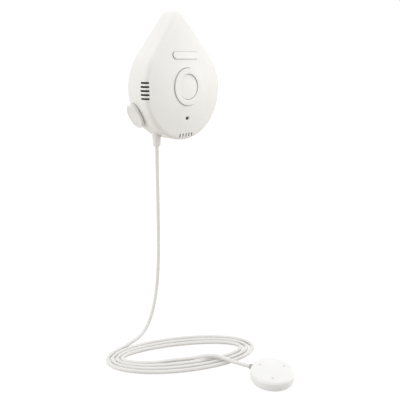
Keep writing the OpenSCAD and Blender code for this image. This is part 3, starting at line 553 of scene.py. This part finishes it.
def make_camera():
    data = bpy.data.cameras.new("camera")
    data.sensor_fit = "HORIZONTAL"
    data.sensor_width = SENSOR
    data.lens = SENSOR * FOCAL_PIXELS / IMAGE_WIDTH
    camera = add_object("camera", data)
    level = math.cos(CAMERA_DOWN)
    ahead = (math.sin(CAMERA_AZIMUTH) * level, math.cos(CAMERA_AZIMUTH) * level, -math.sin(CAMERA_DOWN))
    face_along(camera, CAMERA_AT, Vector(ahead))
    bpy.context.scene.camera = camera


# Cord
def coil_point(degrees):
    """A point of the oval loops, which grow smaller with each turn."""
    turns = (degrees - COIL_COUNT_FROM) / 360
    a = math.radians(degrees)
    x = (COIL_LONG - COIL_STEP * turns) * math.cos(a) - COIL_DRIFT * turns
    y = (COIL_SHORT - COIL_STEP * turns) * math.sin(a)
    return Vector((
        COIL_AT[0] + x * math.cos(COIL_TURN) - y * math.sin(COIL_TURN),
        COIL_AT[1] + x * math.sin(COIL_TURN) + y * math.cos(COIL_TURN),
        CORD_Z,
    ))


def coil_heading(degrees):
    return (coil_point(degrees + 1) - coil_point(degrees - 1)).normalized()


def spline(points):
    """Smooth line through points that never sinks into the floor."""
    last = len(points) - 1
    line = []
    for i in range(last):
        a, b, c, d = (points[k] for k in (max(i - 1, 0), i, i + 1, min(i + 2, last)))
        for k in range(SPLINE_STEPS):
            t = k / SPLINE_STEPS
            p = 0.5 * (2 * b + (c - a) * t + (2 * a - 5 * b + 4 * c - d) * t ** 2
                       + (3 * b - a - 3 * c + d) * t ** 3)
            p.z = max(p.z, CORD_Z)
            line.append(p)
    return line + [points[last]]


def cord_route(start):
    """Points of the whole cord: its hanging run, its loops and its tail to the disc."""
    coil_start = coil_point(COIL_FROM) - CORD_D * coil_heading(COIL_FROM)
    coil_end = coil_point(COIL_TO) + CORD_D * coil_heading(COIL_TO)
    reach = DISC_R + GLAND_OUT
    end = DISC_AT + Vector((reach * math.cos(DISC_TURN), reach * math.sin(DISC_TURN), GLAND_Z))
    hang = spline([start] + [Vector(p) * MM for p in HANG_POINTS] + [coil_start])
    loops = [coil_point(a) for a in range(COIL_FROM, COIL_TO + 1, COIL_RING)]
    tail = spline([coil_end] + [Vector(p) * MM for p in TAIL_POINTS] + [end])
    return hang + loops + tail


def make_cord(plug):
    start = Vector((PLUG_AT.x, PLUG_AT.y, PLUG_LOW.z))
    route = cord_route(start)
    curve = bpy.data.curves.new("cord", "CURVE")
    curve.dimensions = "3D"
    curve.bevel_depth = CORD_D / 2
    curve.bevel_resolution = CORD_ROUND_STEPS
    curve.use_fill_caps = True
    line = curve.splines.new("POLY")
    line.points.add(len(route) - 1)
    for point, place in zip(line.points, route):
        point.co = (*place, 1)
    line.use_smooth = True
    curve.materials.append(cord_white)
    cord = add_object("cord", curve)
    set_piece(cord, "housing", "cord_white", "cord_hang", "cord_coil", "cord_tail")


# Housing
def skin(inset, radius, edge_lift, face_lift):
    """Rings of one side of the shell, from its rear edge to the middle of the face."""
    low = outline(inset)
    foot = ridge(low[:, 1]) + edge_lift + radius * (math.tan(SLOPE) - 1 / math.cos(SLOPE))
    start = COVER_REAR + REAR_ROUND
    rings = [with_depth(low, start + (foot - start) * k / WALL_STEPS) for k in range(WALL_STEPS)]
    for k in range(EDGE_STEPS + 1):
        a = (math.pi / 2 - SLOPE) * k / EDGE_STEPS
        flat = outline(inset + radius * (1 - math.cos(a)))
        lift = radius * (math.tan(SLOPE) - 1 / math.cos(SLOPE) + math.sin(a))
        rings.append(with_depth(flat, ridge(flat[:, 1]) + edge_lift + lift))
    for share in np.linspace(FACE_FROM, FACE_TO, FACE_STEPS):
        flat = share * low
        rings.append(with_depth(flat, face(flat[:, 0], flat[:, 1]) + face_lift))
    return [on_wall(ring) for ring in rings]


def pinhole_cutter():
    """Deep bore, with painted shade on it and on the countersink's inner rim, under a shallow pale
    countersink.
    """
    top = float(face(0, PINHOLE_V))
    sink = PINHOLE_SINK_R - PINHOLE_R
    levels = [(PINHOLE_R, CUT_DEEP), (PINHOLE_R, top - sink),
              (PINHOLE_R + PINHOLE_RIM, top - sink + PINHOLE_RIM), (PINHOLE_SINK_R + sink, top + sink)]
    ends = [wall_point(0, PINHOLE_V, w) for w in (CUT_DEEP, top + sink)]
    bands = (PAINTED_SHADE, PAINTED_SHADE, PALE, PAINTED_SHADE, PALE)
    slots = [slot for slot in bands for _ in range(PINHOLE_STEPS)]
    return (*loft(wall_circles(levels, (0, PINHOLE_V), PINHOLE_STEPS), *ends), slots)


def slot_cutters():
    """Vents round the left edge and slits over the lower edge, with painted shade on their walls."""
    cutters = []
    for i in range(VENT_COUNT):
        v = VENT_V + (i - (VENT_COUNT - 1) / 2) * VENT_PITCH
        slot = rectangle(-R - VENT_PAST, -R + VENT_FACE, v - VENT_H / 2, v + VENT_H / 2)
        cutters.append((*prism(slot, RIDGE_DEPTH - VENT_SIDE, CUT_FAR), PAINTED_SHADE))
    for i in range(SLIT_COUNT):
        u = (i - (SLIT_COUNT - 1) / 2) * SLIT_PITCH
        slot = rectangle(u - SLIT_W / 2, u + SLIT_W / 2, SLIT_IN - R, SLIT_IN - R + SLIT_L)
        cutters.append((*prism(slot, RIDGE_DEPTH - EDGE_R - WALL, CUT_FAR), PAINTED_GAP_SHADE))
    return cutters


def on_button(flat, out):
    """Points from the button's own frame: across, along the outline, and out of the side wall."""
    flat = np.asarray(flat, float)
    across = np.array([0, 1, 0])
    along = np.array([math.sin(BUTTON_A), 0, -math.cos(BUTTON_A)])
    axis = np.array([-math.cos(BUTTON_A), 0, -math.sin(BUTTON_A)])
    base = np.array([0, -NECK_W, 0])
    out = np.broadcast_to(out, len(flat))
    return base + flat[:, :1] * across + flat[:, 1:2] * along + out[:, None] * axis


def cover_cutters():
    """Openings of the light bar, reset hole, vents, slits, button and plug, and the ring's two grooves,
    with painted shade on their walls but for the reset hole's pale countersink.
    """
    lens = stadium(LENS_W + 2 * LENS_END_GAP, LENS_H + 2 * LENS_GAP) + (0, LENS_V)
    cutters = [(*prism(lens, CUT_DEEP, CUT_FAR), PAINTED_GAP_SHADE), pinhole_cutter()] + slot_cutters()
    for radius in (RING_R, RING_R - RING_BAND):
        low = float(face(radius, RING_V)) - RING_GROOVE_DEEP
        groove = tube(radius - RING_GROOVE, radius + RING_GROOVE, (0, RING_V), low, CUT_FAR)
        cutters.append((*groove, PAINTED_GAP_SHADE))
    ends = (FLANGE_TOP, R + CUT_DEEP)
    mouth = [on_button(oval(NECK_H + 2 * NECK_GAP, NECK_L + 2 * NECK_GAP), out) for out in ends]
    cutters.append((*loft(mouth, *[on_button([(0, 0)], out)[0] for out in ends]), PAINTED_GAP_SHADE))
    bore = PLUG_R + PLUG_HOLE
    hole = [(0, PLUG_LOW.z), (bore, PLUG_LOW.z), (bore, PLUG_HIGH.z), (0, PLUG_HIGH.z)]
    cutters.append((*lathe(hole, PLUG_AT, PLUG_HOLE_STEPS), PAINTED_GAP_SHADE))
    return cutters


def make_cover():
    """Shell of the drop, with painted shade, near black, over its inside, and with its openings cut."""
    inner = skin(WALL, INNER_EDGE_R, WALL * (math.tan(SLOPE) - 1), -WALL)
    outer = skin(0, EDGE_R, 0, 0)
    part_round = REAR_ROUND * ROUND_SHARE
    lip = [on_wall(with_depth(outline(inset), COVER_REAR + back)) for inset, back in
           ((WALL - REAR_ROUND, 0), (REAR_ROUND, 0), (part_round, part_round))]
    middle = [wall_point(0, 0, float(face(0, 0)) + lift) for lift in (-WALL, 0)]
    rings = inner[::-1] + lip + outer
    cover = add_mesh("cover", *loft(rings, *middle), housing_white, inside_painted_shade, gap_painted_shade)
    n = len(rings[0])
    fan = (len(rings) - 1) * n
    slots = np.full(len(cover.data.polygons), PALE, np.int32)
    # Painted shade over the inner skin and its middle fan
    slots[:(len(inner) - 1) * n] = PAINTED_SHADE
    slots[fan:fan + n] = PAINTED_SHADE
    cover.data.polygons.foreach_set("material_index", slots)
    carve(cover, cover_cutters())
    smooth(cover)
    set_piece(cover, "housing", "housing_white", "front_cover")


def make_ring():
    """Plain raised ring in the middle of the face, with soft edges."""
    top = float(face(0, 0)) + RING_PROUD
    low = top - RING_PROUD - WALL / 2
    inside = RING_R - RING_BAND
    shoulder = top - RING_ROUND
    outer = arc((RING_R - RING_ROUND, shoulder), RING_ROUND, 0, math.pi / 2, RING_ROUND_STEPS)
    inner = arc((inside + RING_ROUND, shoulder), RING_ROUND, math.pi / 2, math.pi, RING_ROUND_STEPS)
    profile = [(RING_R, low), *outer, *inner, (inside, low)]
    rings = wall_circles(profile, (0, RING_V), RING_STEPS)
    ring = add_mesh("face_ring", *loft(rings + rings[:1]), housing_white)
    smooth(ring)
    set_piece(ring, "housing", "housing_white")


def lens_ring(length, height, drop):
    """One ring of the light bar, which follows the curve of the face."""
    flat = stadium(length, height) + (0, LENS_V)
    return on_wall(with_depth(flat, face(flat[:, 0], flat[:, 1]) + LENS_PROUD - drop))


def make_lens():
    """Light bar with a rounded edge and a skirt in painted shade."""
    rings = [lens_ring(LENS_W, LENS_H, drop) for drop in (LENS_DEEP, LENS_DEEP / 2, LENS_ROUND)]
    for a in np.linspace(LENS_ROUND_FROM, math.pi / 2, LENS_ROUND_STEPS):
        inset = LENS_ROUND * (1 - math.cos(a))
        drop = LENS_ROUND * (1 - math.sin(a))
        rings.append(lens_ring(LENS_W - 2 * inset, LENS_H - 2 * inset, drop))
    for share in LENS_SHARES:
        height = (LENS_H - 2 * LENS_ROUND) * share
        rings.append(lens_ring(LENS_W - LENS_H + height, height, 0))
    back = wall_point(0, LENS_V, float(face(0, LENS_V)) + LENS_PROUD - LENS_DEEP)
    lens = add_mesh("light_bar", *loft(rings, back), lens_white, gap_painted_shade)
    slots = np.full(len(lens.data.polygons), PALE, np.int32)
    # Painted shade on the skirt, below the rounded edge
    slots[:2 * len(rings[0])] = PAINTED_SHADE
    lens.data.polygons.foreach_set("material_index", slots)
    smooth(lens, LENS_SMOOTH)
    set_piece(lens, "housing", "lens_white", "indicator_lens")


# Side button
def cap_ring(inset):
    return oval(CAP_H - 2 * inset, CAP_L - 2 * inset) + (NECK_W - CAP_W, 0)


def over_wall(flat, lift):
    """Height above the housing's axis of points that follow the side wall."""
    return np.sqrt(CAP_UNDER ** 2 - flat[:, 1] ** 2) + lift


def cap_top(flat, drop):
    """Height of the cap's leaning face, less a drop."""
    return R + CAP_PROUD - drop + CAP_LEAN * (flat[:, 0] - NECK_W + CAP_W)


def cap_rings():
    """Rings of the cap, from its underside over its rounded rim into its shallow dish."""
    rings = []
    part_edge = CAP_EDGE * ROUND_SHARE
    for inset, lift in ((CAP_EDGE, 0), (part_edge, part_edge), (0, CAP_EDGE)):
        rings.append(on_button(cap_ring(inset), over_wall(cap_ring(inset), lift)))
    for a in np.linspace(0, math.pi / 2, CAP_ROUND_STEPS):
        flat = cap_ring(CAP_ROUND * (1 - math.cos(a)))
        rings.append(on_button(flat, cap_top(flat, CAP_ROUND * (1 - math.sin(a)))))
    for t in np.linspace(0, 1, CAP_DISH_STEPS)[1:]:
        flat = cap_ring(CAP_ROUND + (CAP_DISH_IN - CAP_ROUND) * t)
        rings.append(on_button(flat, cap_top(flat, CAP_DISH * (1 - math.cos(math.pi * t)) / 2)))
    return rings


def make_button():
    """Oval cap on a neck with a flange and a stem."""
    stem = oval(2 * STEM_R, 2 * STEM_R)
    flange = oval(NECK_H + 2 * FLANGE, NECK_L + 2 * FLANGE)
    neck = oval(NECK_H, NECK_L)
    rings = [on_button(stem, STEM_FROM), on_button(stem, FLANGE_TOP - FLANGE_T)]
    rings += [on_button(flange, FLANGE_TOP - FLANGE_T), on_button(flange, FLANGE_TOP)]
    rings += [on_button(neck, FLANGE_TOP), on_button(neck, over_wall(neck, 0))]
    rings += cap_rings()
    centre = np.array([(NECK_W - CAP_W, 0)])
    for share in CAP_SHARES:
        flat = centre + (cap_ring(CAP_DISH_IN) - centre) * share
        rings.append(on_button(flat, cap_top(flat, CAP_DISH)))
    foot = on_button([(0, 0)], STEM_FROM)[0]
    middle = on_button(centre, cap_top(centre, CAP_DISH))[0]
    button = add_mesh("button", *loft(rings, foot, middle), button_white)
    smooth(button, BUTTON_SMOOTH)
    set_piece(button, "button", "button_white", "side_button")


# Plug
def make_plug():
    """Moulded plug with a slight taper, a rounded end and a short neck round the cord."""
    low = PLUG_LOW.z + RELIEF_L
    foot_r = PLUG_R - PLUG_TAPER
    high, taper_from = PLUG_HIGH.z, low + PLUG_TAPER_L
    profile = [(0, high), (PLUG_R, high)]
    profile += [(PLUG_R, high * (1 - t) + taper_from * t) for t in PLUG_STRAIGHT_SHARES]
    for t in PLUG_TAPER_SHARES:
        profile.append((PLUG_R - PLUG_TAPER * t, low + PLUG_TAPER_L * (1 - t) + PLUG_ROUND * t))
    profile += [*arc((foot_r - PLUG_ROUND, low + PLUG_ROUND), PLUG_ROUND,
                     -PLUG_ROUND_FROM, -math.pi / 2, PLUG_ROUND_STEPS)]
    profile += [(RELIEF_R + RELIEF_FLARE, low), (RELIEF_R, low - RELIEF_FLARE_L)]
    profile += [(CORD_D / 2 + RELIEF_WALL, PLUG_LOW.z), (0, PLUG_LOW.z)]
    plug = add_mesh("plug", *lathe(profile, PLUG_AT, PLUG_STEPS), plug_white)
    smooth(plug, PLUG_SMOOTH)
    return set_piece(plug, "housing", "plug_white", "plug_body")


# Disc
def contact_places():
    turns = [CONTACT_TURN + i * 2 * math.pi / CONTACT_COUNT for i in range(CONTACT_COUNT)]
    return [DISC_AT + CONTACT_RING_R * Vector((math.cos(a), math.sin(a), 0)) for a in turns]


def dimple_cutters():
    """A hole for each contact, with a flared mouth."""
    top = DISC_HIGH.z
    low = top - DISC_ROOF - CONTACT_PAST
    hole = [(0, low), (CONTACT_R, low), (CONTACT_R, top - DIMPLE_DEEP),
            (CONTACT_R + DIMPLE_FLARE, top + DIMPLE_DEEP), (0, top + DIMPLE_DEEP)]
    return [(*lathe(hole, place, DIMPLE_STEPS), PALE) for place in contact_places()]


def make_disc():
    """Hollow round cover with a soft upper edge and three dimples."""
    low, top = DISC_LOW.z, DISC_HIGH.z
    roof, inside = top - DISC_ROOF, DISC_R - DISC_WALL
    flat_r, shoulder = DISC_R - DISC_EDGE, top - DISC_EDGE
    rise = np.linspace(low + DISC_LOW_EDGE, shoulder, DISC_SIDE_STEPS + 1)[:-1]
    profile = [(0, roof), (inside, roof), (inside, low), (DISC_R - DISC_LOW_EDGE, low)]
    profile += [(DISC_R, z) for z in rise]
    profile += [*arc((flat_r, shoulder), DISC_EDGE, 0, math.pi / 2, DISC_EDGE_STEPS)]
    profile += [(flat_r * share, top) for share in DISC_SHARES] + [(0, top)]
    disc = add_mesh("disc", *lathe(profile, DISC_AT, DISC_STEPS), disc_white)
    carve(disc, dimple_cutters())
    smooth(disc)
    set_piece(disc, "housing", "disc_white", "disc_cover")


# Screws
def islands(node):
    """Corners of the box round each separate solid of a node."""
    copy = welded(frame["nodes"][node].data, SLIVER)
    left = set(copy.verts)
    boxes = []
    while left:
        front = [left.pop()]
        found = list(front)
        while front:
            vert = front.pop()
            near = [edge.other_vert(vert) for edge in vert.link_edges]
            fresh = [other for other in near if other in left]
            left.difference_update(fresh)
            front += fresh
            found += fresh
        places = np.array([vert.co[:] for vert in found])
        boxes.append((places.min(0), places.max(0)))
    copy.free()
    return sorted(boxes, key=lambda box: tuple(box[0]))


def screw_mesh(head_r, head_h, shank_r, length):
    """Verts and faces of a pan-head screw that points down, with its head's top at the origin."""
    dome = HEAD_DOME * head_h
    pitch = THREAD_PITCH * shank_r
    root_r = THREAD_ROOT * shank_r
    point = POINT_L * shank_r
    profile = [(0, 0)]
    profile += [(head_r * math.sin(a), -dome * (1 - math.cos(a))) for a in DOME_ANGLES]
    profile += [(head_r, -dome), (head_r, -head_h), (shank_r, -head_h)]
    for k in range(int((length - head_h - point) / pitch)):
        z = -head_h - pitch * (k + 0.5)
        profile += [(root_r, z), (shank_r, z - pitch / 2)]
    profile += [(root_r, point - length), (POINT_R * shank_r, -length), (0, -length)]
    return lathe(profile, (0, 0), SCREW_STEPS)


def cross_cutters(head_r, deep):
    """The two arms of a cross recess, as boxes through the head's top."""
    long, wide = CROSS_LONG * head_r, CROSS_WIDE * head_r
    cutters = []
    for half_x, half_y in ((long, wide), (wide, long)):
        flat = rectangle(-half_x, half_x, -half_y, half_y)
        rings = [with_depth(flat, z) for z in (-deep, deep)]
        cutters.append((*loft(rings, (0, 0, -deep), (0, 0, deep)), PALE))
    return cutters


def make_screws(node, turn, axis, shank_share):
    """Replaces a node's plain screws; turn maps a screw's own frame, which points down, to the scene."""
    for i, (low, high) in enumerate(islands(node)):
        size = high - low
        head_r = min(size) / 2
        head_h = HEAD_H * head_r
        made = screw_mesh(head_r, head_h, shank_share * head_r, size[axis])
        screw = add_mesh(f"{node}_{i}", *made, screw_steel)
        for cutter in cross_cutters(head_r, CROSS_DEEP * head_h):
            carve(screw, [cutter])
        top = Vector((low + high) / 2)
        top[axis] = high[axis] if turn(Vector((0, 0, 1)))[axis] > 0 else low[axis]
        for vert in screw.data.vertices:
            vert.co = turn(vert.co) + top
        smooth(screw)
        set_piece(screw, "housing", "screw_steel")
    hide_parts(node)


def head_back(point):
    """Turns a screw so that its head looks out of the back."""
    return Vector((point.x, point.z, -point.y))


def head_down(point):
    """Turns a screw so that its head looks down."""
    return Vector((point.x, -point.y, -point.z))


# Stage and light
def largest(tree, one, other):
    node = tree.nodes.new("ShaderNodeMath")
    node.operation = "MAXIMUM"
    tree.links.new(one, node.inputs[0])
    tree.links.new(other, node.inputs[1])
    return node.outputs["Value"]


def seen_rays(tree):
    """One for rays that come from the camera, a mirror or a clear surface, and nought for the rest."""
    path = tree.nodes.new("ShaderNodeLightPath").outputs
    mirrored = largest(tree, path["Is Camera Ray"], path["Is Glossy Ray"])
    return largest(tree, mirrored, path["Is Transmission Ray"])


def matt(tree, colour):
    node = tree.nodes.new("ShaderNodeBsdfDiffuse")
    node.inputs["Color"].default_value = (*colour, 1)
    return node.outputs["BSDF"]


def make_floor():
    """Floor that is pale with the shadow on it where it is seen, and bounces warm light for the rest."""
    flat = rectangle(-FLOOR_HALF, FLOOR_HALF, -FLOOR_HALF, FLOOR_HALF)
    corners = with_depth(flat, FLOOR_Z - FLOOR_UNDER)
    material = bpy.data.materials.new("floor_white")
    material.use_nodes = True
    tree = material.node_tree
    tree.nodes.clear()
    out = tree.nodes.new("ShaderNodeOutputMaterial")
    mix = tree.nodes.new("ShaderNodeMixShader")
    both = tree.nodes.new("ShaderNodeAddShader")
    glow = tree.nodes.new("ShaderNodeEmission")
    glow.inputs["Strength"].default_value = FLOOR_GLOW
    tree.links.new(matt(tree, FLOOR_SEEN), both.inputs[0])
    tree.links.new(glow.outputs["Emission"], both.inputs[1])
    tree.links.new(seen_rays(tree), mix.inputs["Fac"])
    tree.links.new(matt(tree, FLOOR_BOUNCE), mix.inputs[1])
    tree.links.new(both.outputs["Shader"], mix.inputs[2])
    tree.links.new(mix.outputs["Shader"], out.inputs["Surface"])
    add_mesh("floor", corners, [(0, 1, 2, 3)], material)


def make_world():
    """Soft light from all round, dimmer from the near side, and white where it is seen."""
    world = bpy.data.worlds.new("world")
    world.use_nodes = True
    bpy.context.scene.world = world
    tree = world.node_tree
    background = tree.nodes["Background"]
    background.inputs["Color"].default_value = (1, 1, 1, 1)
    where = tree.nodes.new("ShaderNodeTexCoord")
    facing = tree.nodes.new("ShaderNodeVectorMath")
    facing.operation = "DOT_PRODUCT"
    facing.inputs[1].default_value = (-math.sin(CAMERA_AZIMUTH), -math.cos(CAMERA_AZIMUTH), 0)
    tree.links.new(where.outputs["Generated"], facing.inputs[0])
    level = tree.nodes.new("ShaderNodeMapRange")
    level.interpolation_type = "SMOOTHSTEP"
    set_inputs(level, {"From Min": NEAR_FROM, "To Min": AMBIENT, "To Max": AMBIENT * NEAR_SIDE})
    tree.links.new(facing.outputs["Value"], level.inputs["Value"])
    strength = largest(tree, seen_rays(tree), level.outputs["Result"])
    tree.links.new(strength, background.inputs["Strength"])


def add_lamp(name, at, aim, size, watts):
    data = bpy.data.lights.new(name, "AREA")
    data.shape = "DISK"
    data.size = size
    data.energy = watts
    face_along(add_object(name, data), at, Vector(aim) - Vector(at))


make_camera()
dress_frame()
make_cord(make_plug())
make_cover()
make_ring()
make_lens()
make_button()
make_disc()
make_screws("housing_screws", head_back, Y_AXIS, HOUSING_SHANK)
make_screws("disc_screws", head_down, Z_AXIS, DISC_SHANK)
make_floor()
make_world()
for lamp in LAMPS:
    add_lamp(*lamp)
bpy.context.scene.view_settings.view_transform = "Standard"
